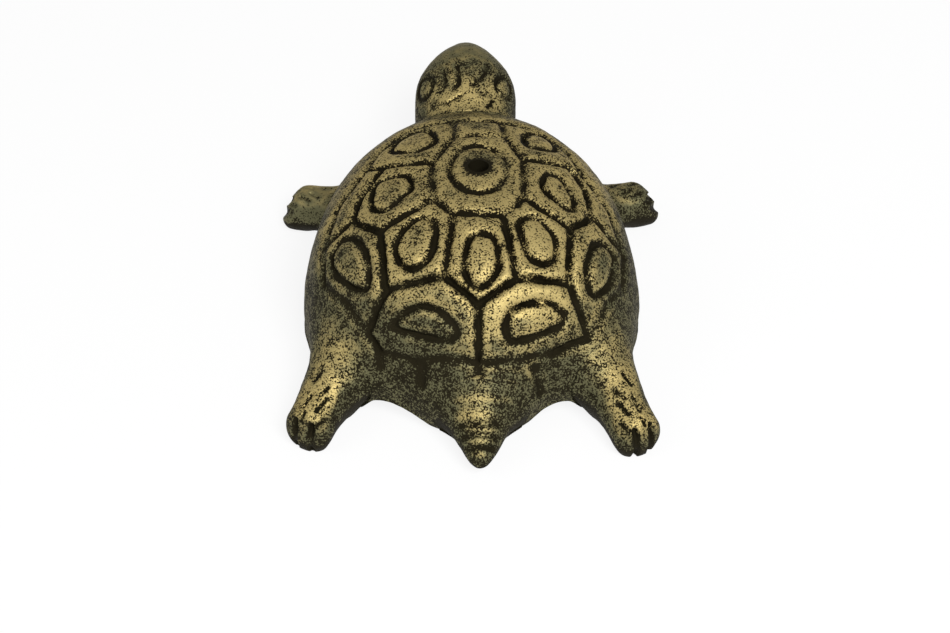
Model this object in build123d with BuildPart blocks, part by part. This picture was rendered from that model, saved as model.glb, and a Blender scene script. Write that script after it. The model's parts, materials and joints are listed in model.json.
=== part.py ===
# Turtle figurine with a stick hole in its crown: a hollow cast shell with head, legs and tail pegged on.
# Millimetres. Z up, +Y towards the head, -X the turtle's left. Feet stand on Z = 0.
import os

from build123d import *

half_turn = 180
quarter_turn = 90

# Shell
shell_half_width = 30.0
shell_front_length = 42.2
shell_rear_length = 24.8
shell_top = 30.0
shell_waist = 4.5
shell_rim = 1.5
shell_widest_y = -10.4
shell_fullness_share = 0.65
shell_wall = 3.2

# Carved scutes
groove_width = 1.25
groove_depth = 1.1
ring_width = 1.0

# Stick hole
hole_radius = 1.8
hole_length = 9.0
boss_wall = 3.0
hole_place_share = (0.04, 0.23)
hole_ring_radius = 5.5
hole_ring_stretch_share = 1.36

# Pegs that hold the limbs in the shell wall
peg_gap = 0.05
joint_gap = 0.05
leg_peg_radius = 1.6
head_peg_radius = 4.0
tail_peg_radius = 1.6
peg_reach = 1.2
peg_share = 0.6

# Head
head_root_share = (-0.04, 0.70)
head_root_level = 11.0
head_length = 28.6
head_pitch = 17.5
head_half_width = 9.8
head_half_height = 8.6
head_shares = (
    (0.0, 0.92, 0.83, 0.0), (0.40, 1.0, 0.96, 0.0), (0.60, 1.0, 1.0, 0.0), (0.78, 0.79, 0.84, 0.0),
    (0.91, 0.48, 0.53, 0.0), (0.985, 0.19, 0.22, 0.0),
)
eye_ring_radius = 2.4
eye_ring_width = 1.0
eye_place_share = (0.53, 0.74, 0.62)
eye_turn = 42.0
scale_width = 0.8
scale_depth = 0.5
mouth_width = 0.6
mouth_depth = 0.8
mouth_place_share = (0.72, -0.22)

# Front legs
front_leg_root_share = (0.63, 0.58)
front_leg_root_level = 5.4
front_leg_turn = 16.0
front_leg_length = 16.9
front_leg_half_width = 4.6
front_leg_half_height = 4.4
front_leg_shares = (
    (0.0, 1.45, 1.40, 0.0), (0.50, 1.12, 1.10, 0.0), (0.70, 1.0, 1.0, 0.0), (0.88, 0.95, 0.80, -0.15),
    (1.0, 0.74, 0.44, -0.45),
)
front_leg_drop = 8.5

# Rear legs
rear_leg_root_share = (0.67, -0.51)
rear_leg_root_level = 7.4
rear_leg_turn = -64.0
rear_leg_lengths = (20.0, 21.2)
rear_leg_half_width = 4.5
rear_leg_half_height = 5.0
rear_leg_shares = (
    (0.0, 1.7, 1.50, 0.0), (0.38, 1.38, 1.24, 0.0), (0.58, 1.12, 1.04, 0.0), (0.78, 1.0, 0.92, -0.05),
    (0.92, 0.95, 0.74, -0.12), (1.0, 0.72, 0.46, -0.25),
)
rear_leg_drop = 14.0

# Toes
toe_notch_radius = 0.7
toe_spread_share = 0.36

# Tail
tail_root_share = (0.05, -0.71)
tail_root_level = 8.0
tail_length = 19.0
tail_drop = 16.0
tail_half_width = 5.6
tail_half_height = 4.6
tail_shares = (
    (0.0, 2.3, 1.75, 0.0), (0.35, 1.70, 1.40, 0.0), (0.60, 1.02, 1.02, 0.0), (0.80, 0.66, 0.74, 0.0),
    (0.95, 0.34, 0.38, 0.0), (1.0, 0.12, 0.14, 0.0),
)

# Lines between the scales of the crown, as shares of the head's half width and of its length
crown_line_shares = (
    ((-0.44, 0.62), (-0.41, 0.55), (-0.40, 0.49), (-0.51, 0.45)),
    ((-0.24, 0.455), (-0.12, 0.49), (-0.13, 0.57), (-0.16, 0.66), (0.10, 0.69), (0.41, 0.64), (0.36, 0.58),
     (0.31, 0.53), (0.17, 0.455), (0.37, 0.42), (0.53, 0.44)),
)

# Corners where the grooves between scutes meet, as shares of the shell's half width and of its length
# from the widest line to the front or rear edge
corner_shares = {
    "a": (-0.10, 0.48), "b": (0.20, 0.49), "c": (-0.23, 0.28), "d": (0.30, 0.31),
    "e": (-0.22, 0.05), "f": (0.30, 0.06), "g": (-0.10, -0.09), "h": (0.18, -0.11),
    "i": (-0.15, -0.58), "j": (0.25, -0.58), "k": (0.04, -0.74), "l": (0.04, -0.94),
    "m": (-0.52, 0.32), "n": (-0.65, 0.13), "o": (-0.68, 0.03), "p": (-0.52, -0.17),
    "q": (-0.48, -0.58), "r": (-0.58, -0.72), "s": (-0.51, -0.81), "t": (0.57, 0.35),
    "u": (0.67, 0.21), "v": (0.69, 0.06), "w": (0.56, -0.11), "x": (0.55, -0.52),
    "y": (0.65, -0.69), "z": (0.46, -0.83), "A": (-0.12, 0.64), "B": (0.17, 0.64),
    "C": (-0.40, 0.62), "D": (0.43, 0.62), "E": (-0.57, 0.46), "F": (0.60, 0.46),
    "G": (-0.62, 0.36), "H": (0.66, 0.33), "I": (-0.79, 0.16), "J": (0.81, 0.16),
    "K": (-0.85, -0.03), "L": (0.88, -0.05), "M": (-0.85, -0.30), "N": (0.87, -0.30),
    "O": (-0.31, -0.90), "P": (0.24, -0.915),
}

# Each scute by the corners round it
scutes = (
    "abBA", "aceghfdb", "gikjh", "acmGECA", "bdtHFDB", "cmnope", "dtuvwf", "epqig", "fwxjh",
    "mnoKIG", "tuvLJH", "opqrMK", "vwxyNL", "qiklOsr", "xjklPzy",
)

# Line round all the scutes
carved_border = "ABDFHJLNyzPlOsrMKIGEC"

# Ring groove inside each large scute, in the same shares
ring_shares = (
    ((0.00, -0.30), (0.11, -0.29), (0.15, -0.44), (0.15, -0.54), (0.08, -0.63), (0.00, -0.62),
     (-0.04, -0.50)),
    ((-0.28, -0.11), (-0.21, -0.17), (-0.20, -0.30), (-0.23, -0.44), (-0.32, -0.50), (-0.40, -0.44),
     (-0.43, -0.32), (-0.38, -0.19)),
    ((0.27, -0.15), (0.37, -0.09), (0.45, -0.19), (0.48, -0.30), (0.45, -0.42), (0.34, -0.44),
     (0.29, -0.30)),
    ((-0.53, 0.22), (-0.37, 0.21), (-0.35, 0.12), (-0.40, 0.08), (-0.48, 0.02), (-0.57, 0.05),
     (-0.58, 0.13)),
    ((0.44, 0.24), (0.52, 0.24), (0.58, 0.13), (0.59, 0.06), (0.53, 0.05), (0.43, 0.12), (0.41, 0.18)),
    ((-0.47, 0.44), (-0.33, 0.39), (-0.23, 0.43), (-0.22, 0.51), (-0.30, 0.58), (-0.43, 0.54)),
    ((0.33, 0.44), (0.47, 0.45), (0.50, 0.51), (0.43, 0.58), (0.32, 0.55)),
    ((-0.80, -0.15), (-0.72, -0.09), (-0.63, -0.21), (-0.58, -0.38), (-0.59, -0.52), (-0.68, -0.46),
     (-0.78, -0.30)),
    ((0.69, -0.19), (0.76, -0.11), (0.82, -0.17), (0.78, -0.38), (0.68, -0.50), (0.65, -0.38)),
    ((-0.43, -0.74), (-0.30, -0.71), (-0.17, -0.76), (-0.08, -0.84), (-0.13, -0.87), (-0.27, -0.84),
     (-0.40, -0.78)),
    ((0.21, -0.77), (0.28, -0.72), (0.36, -0.68), (0.45, -0.66), (0.52, -0.68), (0.50, -0.73), (0.41, -0.79),
     (0.30, -0.84), (0.23, -0.86), (0.19, -0.83)),
)


def plan_point(share):
    length = shell_front_length if share[1] > 0 else shell_rear_length
    return (share[0] * shell_half_width, shell_widest_y + share[1] * length)


def shell_form(grow, floor):
    """Solid under the shell's outer face, moved out by grow, down to the level floor."""
    half = shell_half_width + grow
    top = shell_top + grow
    handle = shell_fullness_share
    halves = []
    for length, arc in ((shell_front_length, half_turn), (shell_rear_length, -half_turn)):
        with BuildPart() as half_form:
            with BuildSketch(Plane.XZ):
                with BuildLine():
                    Bezier(
                        (0, top),
                        (handle * half, top),
                        (half, shell_waist + handle * (top - shell_waist)),
                        (half, shell_waist),
                    )
                    Polyline((half, shell_waist), (half, floor), (0, floor), (0, top))
                make_face()
            revolve(axis=Axis.Z, revolution_arc=arc)
            scale(by=(1, (length + grow) / half, 1))
        halves.append(half_form.part)
    with BuildPart() as form:
        with Locations((0, shell_widest_y, 0)):
            add(halves)
    return form.part


def scute_face(corners, inset):
    """Flat plan of one scute, drawn in by inset."""
    with BuildSketch() as face:
        with BuildLine():
            Polyline(*corners, close=True)
        make_face()
        offset(amount=-inset, kind=Kind.ARC, mode=Mode.REPLACE)
    return face.sketch


def named_corners(letters):
    return [plan_point(corner_shares[letter]) for letter in letters]


def axis_plane(root_share, level, turn, rise):
    """Plane at the root of a limb, under the shell: its normal runs along the limb and its Y up the limb."""
    along = Vector(1, 0, 0).rotate(Axis.Y, -rise).rotate(Axis.Z, turn)
    across = Vector(0, 1, 0).rotate(Axis.Z, turn)
    return Plane(origin=(*plan_point(root_share), level), x_dir=across, z_dir=along)


def limb_form(plane, length, half_width, half_height, shares, grow):
    """Limb lofted through ovals, each with shares for its place, half width, half height and rise."""
    with BuildPart() as form:
        for along, wide, high, rise in shares:
            with BuildSketch(plane.offset(along * length)):
                with Locations((0, rise * half_height)):
                    Ellipse(wide * half_width + grow, high * half_height + grow)
        loft()
    return form.part


def peg_form(plane, radius, length):
    with BuildPart() as peg:
        with BuildSketch(plane):
            Circle(radius)
        extrude(amount=length)
    return peg.part


shell_edge = shell_form(joint_gap, -shell_top)
peg_end = shell_form(-shell_wall - peg_reach, -shell_top)


def pegged_limb(form, peg):
    """Limb cut to sit on the shell, standing on the ground, with its peg through the shell wall."""
    with BuildPart() as limb:
        add(form)
        add(shell_edge, mode=Mode.SUBTRACT)
        split(bisect_by=Plane.XY, keep=Keep.TOP)
        add(peg)
        add(peg_end, mode=Mode.SUBTRACT)
    return limb.part


def leg_planes(root_share, level, turn, drop):
    """Root planes of the left and the right leg of a pair."""
    across, ahead = root_share
    return [
        axis_plane((-across, ahead), level, half_turn - turn, -drop),
        axis_plane((across, ahead), level, turn, -drop),
    ]


def leg(plane, length, half_width, half_height, shares):
    form = limb_form(plane, length, half_width, half_height, shares, 0)
    peg = peg_form(plane, leg_peg_radius, peg_share * length)
    with BuildPart() as limb:
        add(pegged_limb(form, peg))
        for toe in (-toe_spread_share, toe_spread_share):
            across = Location((toe * half_width, 0, 0), (quarter_turn, 0, 0))
            with Locations(plane.offset(length).location * across):
                Cylinder(toe_notch_radius, half_height + half_height, mode=Mode.SUBTRACT)
    return limb.part


front_planes = leg_planes(front_leg_root_share, front_leg_root_level, front_leg_turn, front_leg_drop)
rear_planes = leg_planes(rear_leg_root_share, rear_leg_root_level, rear_leg_turn, rear_leg_drop)
head_plane = axis_plane(head_root_share, head_root_level, quarter_turn, head_pitch)
tail_plane = axis_plane(tail_root_share, tail_root_level, -quarter_turn, -tail_drop)

hole_place = plan_point(hole_place_share)
hole_foot = shell_top - hole_length
boss_radius = hole_radius + boss_wall

# Hollow under the shell, leaving a boss round the stick hole
with BuildPart() as hollow:
    add(shell_form(-shell_wall, 0))
    with BuildSketch(Plane.XY.offset(hole_foot)):
        with Locations(hole_place):
            Circle(boss_radius)
    extrude(amount=shell_top, mode=Mode.SUBTRACT)

# Grooves round the scutes and the ring inside each
with BuildPart() as carving:
    with BuildSketch():
        with BuildLine():
            Polyline(*named_corners(carved_border), close=True)
        make_face()
        offset(amount=groove_width / 2, kind=Kind.INTERSECTION)
        for letters in scutes:
            add(scute_face(named_corners(letters), groove_width / 2), mode=Mode.SUBTRACT)
        for shares in ring_shares:
            ring = [plan_point(share) for share in shares]
            add(scute_face(ring, -ring_width / 2))
            add(scute_face(ring, ring_width / 2), mode=Mode.SUBTRACT)
        with Locations(hole_place):
            Ellipse(hole_ring_radius, hole_ring_radius * hole_ring_stretch_share)
            Ellipse(
                hole_ring_radius - ring_width,
                hole_ring_radius * hole_ring_stretch_share - ring_width,
                mode=Mode.SUBTRACT,
            )
    extrude(amount=shell_top + shell_wall)
    add(shell_form(-groove_depth, 0), mode=Mode.SUBTRACT)

with BuildPart() as carapace:
    add(shell_form(0, shell_rim))
    add(hollow.part, mode=Mode.SUBTRACT)
    add(carving.part, mode=Mode.SUBTRACT)
    with BuildSketch(Plane.XY):
        with Locations(hole_place):
            Circle(hole_radius)
    extrude(amount=shell_top + shell_wall, mode=Mode.SUBTRACT)
    for plane in front_planes:
        add(peg_form(plane, leg_peg_radius + peg_gap, front_leg_length), mode=Mode.SUBTRACT)
    for plane, length in zip(rear_planes, rear_leg_lengths):
        add(peg_form(plane, leg_peg_radius + peg_gap, length), mode=Mode.SUBTRACT)
    add(peg_form(head_plane, head_peg_radius + peg_gap, head_length), mode=Mode.SUBTRACT)
    add(peg_form(tail_plane, tail_peg_radius + peg_gap, tail_length), mode=Mode.SUBTRACT)


def head_form(grow):
    """Plain head, moved out by grow."""
    return limb_form(head_plane, head_length, head_half_width, head_half_height, head_shares, grow)


# Mouth line round the snout
mouth_start, mouth_level = mouth_place_share
with BuildPart() as mouth:
    with BuildSketch(head_plane.offset(mouth_start * head_length)):
        with Locations((0, mouth_level * head_half_height)):
            Rectangle(head_half_width + head_half_width, mouth_width)
    extrude(amount=head_length)
    add(head_form(-mouth_depth), mode=Mode.SUBTRACT)

# Lines between the scales of the crown
crown_plane = Plane(origin=head_plane.origin, x_dir=-head_plane.x_dir, z_dir=head_plane.y_dir)
with BuildPart() as crown_lines:
    with BuildSketch(crown_plane):
        for line in crown_line_shares:
            with BuildLine():
                Polyline(*[(across * head_half_width, along * head_length) for across, along in line])
            trace(line_width=scale_width)
    extrude(amount=head_half_height + head_half_height)
    add(head_form(-scale_depth), mode=Mode.SUBTRACT)

with BuildPart() as head:
    add(pegged_limb(head_form(0), peg_form(head_plane, head_peg_radius, peg_share * head_length)))
    add(mouth.part, mode=Mode.SUBTRACT)
    add(crown_lines.part, mode=Mode.SUBTRACT)
    along, across, up = eye_place_share
    for side, turn in ((1, eye_turn), (-1, half_turn - eye_turn)):
        eye = head_plane.offset(along * head_length).location
        eye *= Pos(side * across * head_half_width, up * head_half_height, 0)
        with Locations(eye * Rot(0, 0, turn) * Rot(0, quarter_turn, 0)):
            Torus(eye_ring_radius, eye_ring_width / 2, mode=Mode.SUBTRACT)

front_left_leg, front_right_leg = [
    leg(plane, front_leg_length, front_leg_half_width, front_leg_half_height, front_leg_shares)
    for plane in front_planes
]
rear_left_leg, rear_right_leg = [
    leg(plane, length, rear_leg_half_width, rear_leg_half_height, rear_leg_shares)
    for plane, length in zip(rear_planes, rear_leg_lengths)
]
tail = pegged_limb(
    limb_form(tail_plane, tail_length, tail_half_width, tail_half_height, tail_shares, 0),
    peg_form(tail_plane, tail_peg_radius, peg_share * tail_length),
)

os.makedirs("parts", exist_ok=True)
for name, piece in (
    ("carapace", carapace.part),
    ("head", head.part),
    ("front_left_leg", front_left_leg),
    ("front_right_leg", front_right_leg),
    ("rear_left_leg", rear_left_leg),
    ("rear_right_leg", rear_right_leg),
    ("tail", tail),
):
    piece.label = name
    export_step(piece, f"parts/{name}.step")
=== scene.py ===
import json
import math

import bmesh
import bpy
import numpy as np
from bpy.props import FloatProperty, FloatVectorProperty, IntProperty, PointerProperty, StringProperty
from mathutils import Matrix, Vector, kdtree, noise


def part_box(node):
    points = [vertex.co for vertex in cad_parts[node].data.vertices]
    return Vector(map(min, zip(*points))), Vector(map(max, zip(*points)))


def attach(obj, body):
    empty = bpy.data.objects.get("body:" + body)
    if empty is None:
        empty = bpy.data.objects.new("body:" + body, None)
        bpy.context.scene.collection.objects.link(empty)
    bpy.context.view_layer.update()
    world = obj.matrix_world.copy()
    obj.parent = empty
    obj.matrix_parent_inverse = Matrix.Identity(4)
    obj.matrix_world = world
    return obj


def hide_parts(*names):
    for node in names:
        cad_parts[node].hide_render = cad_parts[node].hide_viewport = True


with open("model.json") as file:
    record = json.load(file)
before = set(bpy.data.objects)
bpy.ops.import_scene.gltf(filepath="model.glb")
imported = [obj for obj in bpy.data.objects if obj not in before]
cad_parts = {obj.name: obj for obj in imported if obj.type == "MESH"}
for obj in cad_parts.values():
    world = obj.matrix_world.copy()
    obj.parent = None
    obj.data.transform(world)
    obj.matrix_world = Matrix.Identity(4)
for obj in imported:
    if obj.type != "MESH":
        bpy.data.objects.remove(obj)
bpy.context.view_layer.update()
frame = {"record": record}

bl_info = {
    "name": "Cast Turtle Figurine",
    "version": (1, 0, 0),
    "blender": (4, 5, 0),
    "location": "View3D > Sidebar > Turtle",
    "description": "Casts a small gilded iron turtle round a packed frame",
    "category": "Add Mesh",
}

MM = 0.001
SHELL_LOW, SHELL_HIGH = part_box("carapace")
STICK_HOLE = next(mount for mount in frame["record"]["mounts"] if mount["name"] == "stick_hole")
HOLE_PLACE = np.array(STICK_HOLE["pos_m"][:2])

# Corners where the grooves between scutes meet, as shares of the shell's half width and of its length from
# the widest line to the front or rear edge
CORNER_SHARES = {
    "a": (-0.10, 0.48), "b": (0.20, 0.49), "c": (-0.23, 0.28), "d": (0.30, 0.31),
    "e": (-0.22, 0.05), "f": (0.30, 0.06), "g": (-0.10, -0.09), "h": (0.18, -0.11),
    "i": (-0.15, -0.58), "j": (0.25, -0.58), "k": (0.04, -0.74), "l": (0.04, -0.94),
    "m": (-0.52, 0.32), "n": (-0.65, 0.13), "o": (-0.68, 0.03), "p": (-0.52, -0.17),
    "q": (-0.48, -0.58), "r": (-0.58, -0.72), "s": (-0.51, -0.81), "t": (0.57, 0.35),
    "u": (0.67, 0.21), "v": (0.69, 0.06), "w": (0.56, -0.11), "x": (0.55, -0.52),
    "y": (0.65, -0.69), "z": (0.46, -0.83), "A": (-0.12, 0.64), "B": (0.17, 0.64),
    "C": (-0.40, 0.62), "D": (0.43, 0.62), "E": (-0.57, 0.46), "F": (0.60, 0.46),
    "G": (-0.62, 0.36), "H": (0.66, 0.33), "I": (-0.79, 0.16), "J": (0.81, 0.16),
    "K": (-0.85, -0.03), "L": (0.88, -0.05), "M": (-0.85, -0.30), "N": (0.87, -0.30),
    "O": (-0.31, -0.90), "P": (0.24, -0.915),
}

# Each scute by the corners round it
SCUTES = (
    "abBA", "aceghfdb", "gikjh", "acmGECA", "bdtHFDB", "cmnope", "dtuvwf", "epqig", "fwxjh",
    "mnoKIG", "tuvLJH", "opqrMK", "vwxyNL", "qiklOsr", "xjklPzy",
)

# Lines that are worn shallower than the rest
WORN_LINES = {
    "GI": 0.4, "IK": 0.4, "KM": 0.4, "Mr": 0.35, "HJ": 0.4, "JL": 0.4, "LN": 0.4, "Ny": 0.35,
    "AC": 0.45, "BD": 0.45, "CE": 0.45, "DF": 0.45, "EG": 0.45, "FH": 0.45, "AB": 0.45,
    "Aa": 0.45, "Bb": 0.45, "ab": 0.5, "ac": 0.5, "bd": 0.5, "ce": 0.45, "df": 0.55, "eg": 0.6, "fh": 0.6,
    "gi": 0.65, "mn": 0.75, "tu": 0.75, "Os": 0.45, "Ol": 0.5, "Pl": 0.55, "Pz": 0.5,
}

# Ring groove inside each large scute, in the same shares
RING_SHARES = (
    ((0.00, -0.30), (0.11, -0.29), (0.15, -0.44), (0.15, -0.54), (0.08, -0.63), (0.00, -0.62),
     (-0.04, -0.50)),
    ((-0.28, -0.11), (-0.21, -0.17), (-0.20, -0.30), (-0.23, -0.44), (-0.32, -0.50), (-0.40, -0.44),
     (-0.43, -0.32), (-0.38, -0.19)),
    ((0.27, -0.15), (0.37, -0.09), (0.45, -0.19), (0.48, -0.30), (0.45, -0.42), (0.34, -0.44), (0.29, -0.30)),
    ((-0.53, 0.22), (-0.37, 0.21), (-0.35, 0.12), (-0.40, 0.08), (-0.48, 0.02), (-0.57, 0.05), (-0.58, 0.13)),
    ((0.44, 0.24), (0.52, 0.24), (0.58, 0.13), (0.59, 0.06), (0.53, 0.05), (0.43, 0.12), (0.41, 0.18)),
    ((-0.47, 0.44), (-0.33, 0.39), (-0.23, 0.43), (-0.22, 0.51), (-0.30, 0.58), (-0.43, 0.54)),
    ((0.33, 0.44), (0.47, 0.45), (0.50, 0.51), (0.43, 0.58), (0.32, 0.55)),
    ((-0.80, -0.15), (-0.72, -0.09), (-0.63, -0.21), (-0.58, -0.38), (-0.59, -0.52), (-0.68, -0.46),
     (-0.78, -0.30)),
    ((0.69, -0.19), (0.76, -0.11), (0.82, -0.17), (0.78, -0.38), (0.68, -0.50), (0.65, -0.38)),
    ((-0.43, -0.74), (-0.30, -0.71), (-0.17, -0.76), (-0.08, -0.84), (-0.13, -0.87), (-0.27, -0.84),
     (-0.40, -0.78)),
    ((0.21, -0.77), (0.28, -0.72), (0.36, -0.68), (0.45, -0.66), (0.52, -0.68), (0.50, -0.73), (0.41, -0.79),
     (0.30, -0.84), (0.23, -0.86), (0.19, -0.83)),
)

# Arcs of the ring round the stick hole: first and last angle from the right, in degrees, and its strength
HOLE_RING_ARCS = ((-55.0, 50.0, 0.5), (50.0, 120.0, 1.0), (120.0, 240.0, 0.8), (240.0, 305.0, 1.0))

# Short marks that run down the skirt from the lower line, with shares of a scute line's half width and depth,
# and how black they are
SKIRT_MARK_SHARES = (
    ((0.04, -0.94), (0.035, -0.98)),
    ((0.35, -0.895), (0.365, -0.925)),
    ((-0.27, -0.91), (-0.265, -0.945)),
    ((-0.51, -0.81), (-0.495, -0.84)),
)
SKIRT_MARK_WIDTH, SKIRT_MARK_DEPTH, SKIRT_MARK_BLACK = 1.5, 0.4, 0.5

# Marks on the limbs, each place as a share along the limb and an angle from its right side over its top.
# The eyes share one place along the head and have an angle each, and a ring spreads by a share and an angle.
EYE_ALONG, EYE_ANGLES, EYE_SPREAD, EYE_BLACK = 0.53, (39.0, 144.0), (0.08, 14.0), 0.55
STROKE_BLACK = 0.5
CROWN_STROKES = (  # each with its strength
    (0.8, ((0.62, 116.0), (0.55, 114.0), (0.49, 113.5), (0.45, 121.0))),
    (1.0, ((0.65, 101.0), (0.57, 97.5), (0.49, 97.0), (0.455, 104.0))),
    (1.0, ((0.66, 63.0), (0.58, 68.0), (0.53, 72.0), (0.48, 80.0))),
    (0.4, ((0.65, 101.0), (0.64, 90.0), (0.68, 80.0))),
    (1.0, ((0.41, 125.0), (0.36, 129.0))),
    (1.2, ((0.40, 55.0), (0.34, 62.0))),
    (0.7, ((0.36, 112.0), (0.385, 104.0), (0.41, 95.0))),
    (0.5, ((0.44, 74.0), (0.42, 68.0), (0.44, 58.0))),
)
LEG_STROKES = (  # of a right leg, and turned over for a left one
    ((0.43, 102.0), (0.53, 110.0)),
    ((0.64, 100.0), (0.76, 104.0)),
    ((0.80, 95.0), (0.88, 99.0)),
    ((0.53, 72.0), (0.62, 81.0)),
    ((0.62, 62.0), (0.75, 71.0)),
    ((0.78, 44.0), (0.87, 52.0)),
)
FRONT_STROKE_STRENGTH = 0.6
TAIL_VALLEYS, VALLEY_ANGLES, VALLEY_BLACK = (0.50, 0.655, 0.75, 0.855), (45.0, 135.0), 0.3

# The mouth is cut round a point inside the snout: a share along the head, a share of its half height and half
# the angle of the cut
MOUTH_ALONG, MOUTH_DROP, MOUTH_SWEEP, MOUTH_BLACK = 0.70, -0.22, 78.0, 0.8

# A notch between toes runs over the tip round a point inside the foot, between two angles from its axis. The
# front toes' notches are wide, shallow and lean back as they run up.
TOE_ALONG, TOE_ANGLES, TOE_BLACK = 0.80, (-30.0, 62.0), 0.7
REAR_TOES = {"wide": 1.0, "deep": 1.0, "lean": 0.0}
FRONT_TOES = {"wide": 1.7, "deep": 0.55, "lean": 1.0}

# Gold wax that any skin took and that the lines' edges took on top; more gold on level skin, partly wax and
# partly painted light from above; and less gold towards the front, which is painted shade
WAX_LEAST, LEVEL_WAX_AND_LIGHT, WAX_EDGE, FRONT_PAINTED_SHADE = 0.10, 0.65, 0.2, 0.24
LEVEL_RANGE, FRONT_RANGE = (0.15, 0.95), (0.3, 0.9)
EDGE_GAP, EDGE_SPREAD = 1.4 * MM, 0.6 * MM

# Spots with more or less gold, partly where the wax went on thick or thin and partly painted light and shade
# that brighten some parts of the shell and darken others: a place on the shell, its size in millimetres and
# how much more or less
WAX_AND_LIGHT_SPOTS = (
    ((-0.28, -0.80), 9.0, -0.26), ((0.05, -1.0), 10.0, -0.22), ((0.05, -1.2), 8.0, -0.28),
    ((0.36, -0.66), 8.0, 0.24), ((0.06, -0.45), 7.0, 0.12), ((0.40, -0.30), 7.0, 0.12),
    ((-0.75, -0.30), 10.0, -0.26), ((0.80, -0.20), 10.0, -0.26), ((0.0, 0.25), 10.0, -0.20),
    ((-0.70, -0.85), 8.0, -0.22), ((0.72, -0.85), 8.0, -0.12),
)

# The same on the limbs, with a share along the limb and an angle
HEAD_SPOTS = ((0.40, 92.0, 6.0, 0.28), (0.80, 90.0, 10.0, -0.30))
TAIL_SPOTS = ((0.80, 90.0, 5.0, 0.16),)

# The front paws are dull round a share along them, and are more or less smooth
PAW_ALONG, PAW_SPREAD = 0.9, 12.0
PAW_WAX, PAW_SMOOTH = {"left": -0.32, "right": -0.45}, {"left": 0.4, "right": 0.12}

# The snout is smooth from one share along the head to another, and the head's underside gets less painted
# shade than a leg's
SNOUT, SNOUT_SMOOTH, HEAD_UNDERSIDE_SHADE = (0.60, 0.80), 0.35, 0.35

# Where two skins run together, in shares of the radius: how near the other skin a point moves, and the depths
# under it between which the point is let go and between which it sinks
FLOW_NEAR, FLOW_FREE, FLOW_SINK = 1.5, (0.15, 0.6), (0.04, 0.2)

# Heights that tell the parts of the shell's faces while it is spun: the bore lies between 0 and 1
ROOF, WALL, LINING = 2.0, 3.0, 10.0

# The outer skin by its depth in shares of the wall and its distance from the hole in shares of the radius
OUTER_DEPTH, BORE_EDGE = 0.3, 1.02

# A scute rises over a distance from its lines, flattens out in the skirt and keeps clear of the limbs
PILLOW_REACH, PILLOW_END, PILLOW_CLEAR = 2.2 * MM, (0.90, 0.97), (0.5, 1.2)

# Less gold on the skirt, partly wax and partly painted shade on the sides, and black round the stick hole
SKIRT_DULL_AND_SHADE, SKIRT_RANGE = 0.08, (0.88, 0.98)
HOLE_STAIN, HOLE_STAIN_RANGE = 0.9, (1.0, 1.6)

# An arch in the rim starts beside a hind leg and ends towards the tail, in half widths of the leg. It stays
# clear of the tail, in half widths of the tail, and goes in from the rear edge, in thicknesses of the wall.
ARCH_START, ARCH_END, ARCH_CLEAR, ARCH_IN = (0.9, 1.6), (1.8, 4.5), (1.0, 2.0), (2.0, 3.5)

# A limb is pressed out from a ball round a share along it, and goes into the wall by a share of it. It keeps
# clear of the ground by a share of the rim's height, which fades out with the distance from the shell.
BALL_ALONG, BALL_REACH, BALL_DETAIL, WALL_SHARE = 0.45, 0.55, 7, 0.5
KEPT_HEIGHT, KEPT_FADE = 1.2, 8.0 * MM
PEG_START, PEG_ROUNDING = 0.3, 0.2

# Away from the shell a limb is painted black near the ground and where its skin faces down, as painted shade.
# Its carving fades out over the height of the sole.
AWAY, SHADE_CORE, FACING_DOWN, SOLE = 4.0 * MM, 0.15, (-0.40, 0.10), 1.2 * MM

# Hand-worked skin: how far it lies under the drawn one, and its lumps by height, size and seed
SKIN_DEPTH = 0.45 * MM
SKIN_LUMPS = ((0.14 * MM, 4.5 * MM, 1.0), (0.05 * MM, 1.3 * MM, 2.0))

# Sections along each limb: share of its length, then shares of its half width and half height
HEAD_SHARES = ((-0.1, 0.90, 0.80), (0.40, 1.0, 0.96), (0.60, 1.0, 1.0), (0.78, 0.86, 0.91), (1.0, 0.56, 0.64))
TAIL_SHARES = ((-0.1, 1.8, 1.50), (0.35, 1.35, 1.20), (0.6, 0.94, 0.96), (0.8, 0.66, 0.74), (1.0, 0.48, 0.54))
FRONT_LEG_SHARES = (
    (-0.1, 1.25, 1.25), (0.55, 1.02, 1.04), (0.75, 1.0, 1.06), (0.9, 0.98, 0.98), (1.0, 0.94, 0.86)
)
REAR_LEG_SHARES = (
    (-0.1, 1.35, 1.30), (0.4, 1.22, 1.15), (0.7, 1.05, 0.97), (0.9, 1.02, 0.88), (1.0, 0.98, 0.77)
)

# Lamps: place in metres, size in metres and power in watts
LAMPS = {"key_lamp": ((0.20, -0.42, 0.55), 0.35, 4.5), "fill_lamp": ((-0.50, -0.20, 0.45), 0.40, 0.8)}
FLOOR_REACH, FLOOR_GLOW, SKY_LIGHT = 3.0, 0.86, 0.28


def length_property(label, words, size):
    return FloatProperty(name=label, description=words, default=size, subtype="DISTANCE", unit="LENGTH")


def colour_property(label, words, code):
    return StringProperty(name=label, description=words, default=code)


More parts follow.
